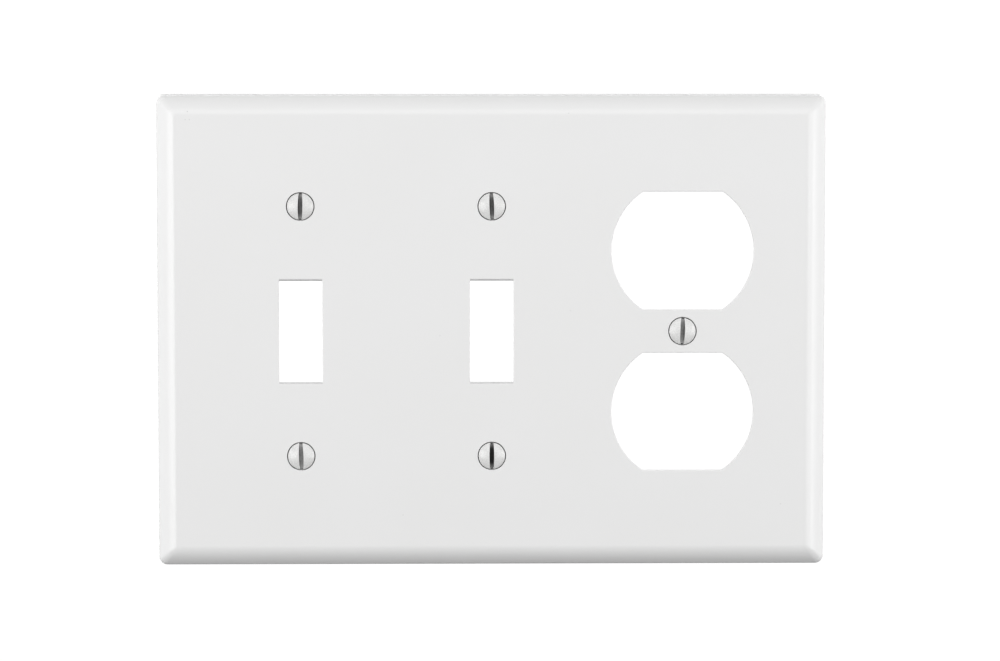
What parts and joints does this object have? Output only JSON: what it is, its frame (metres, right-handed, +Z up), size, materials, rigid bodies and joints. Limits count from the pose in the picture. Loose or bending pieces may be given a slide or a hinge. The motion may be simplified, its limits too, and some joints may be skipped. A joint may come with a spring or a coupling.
{
  "type": "combination wall plate",
  "caption": "Multi-gang electrical wall plate with toggle-switch windows, duplex-outlet windows and slotted oval-head screws.",
  "frame": {"origin": "centre of the plate's outline on the wall plane, which the rim's back edge touches", "axes": "+Z up as mounted, +X to the right seen from the front, +Y into the wall; the front faces -Y"},
  "size_m": [0.162, 0.0136, 0.1142],
  "materials": {
    "plate_plastic": "white moulded plastic, smooth and half glossy",
    "screw_paint": "white enamel over steel, finely speckled on the head"
  },
  "bodies": {
    "plate": {"face_plate": "plate_plastic"},
    "toggle_1_upper_screw": {"toggle_1_upper_screw": "screw_paint"},
    "toggle_1_lower_screw": {"toggle_1_lower_screw": "screw_paint"},
    "toggle_2_upper_screw": {"toggle_2_upper_screw": "screw_paint"},
    "toggle_2_lower_screw": {"toggle_2_lower_screw": "screw_paint"},
    "outlet_screw": {"outlet_screw": "screw_paint"}
  },
  "joints": [
    {"name": "toggle_1_upper_screw_out", "type": "slide", "parent": "plate", "child": "toggle_1_upper_screw", "axis": [0, -1, 0], "range_m": [0, 0.014]},
    {"name": "toggle_1_lower_screw_out", "type": "slide", "parent": "plate", "child": "toggle_1_lower_screw", "axis": [0, -1, 0], "range_m": [0, 0.014]},
    {"name": "toggle_2_upper_screw_out", "type": "slide", "parent": "plate", "child": "toggle_2_upper_screw", "axis": [0, -1, 0], "range_m": [0, 0.014]},
    {"name": "toggle_2_lower_screw_out", "type": "slide", "parent": "plate", "child": "toggle_2_lower_screw", "axis": [0, -1, 0], "range_m": [0, 0.014]},
    {"name": "outlet_screw_out", "type": "slide", "parent": "plate", "child": "outlet_screw", "axis": [0, -1, 0], "range_m": [0, 0.014]}
  ]
}
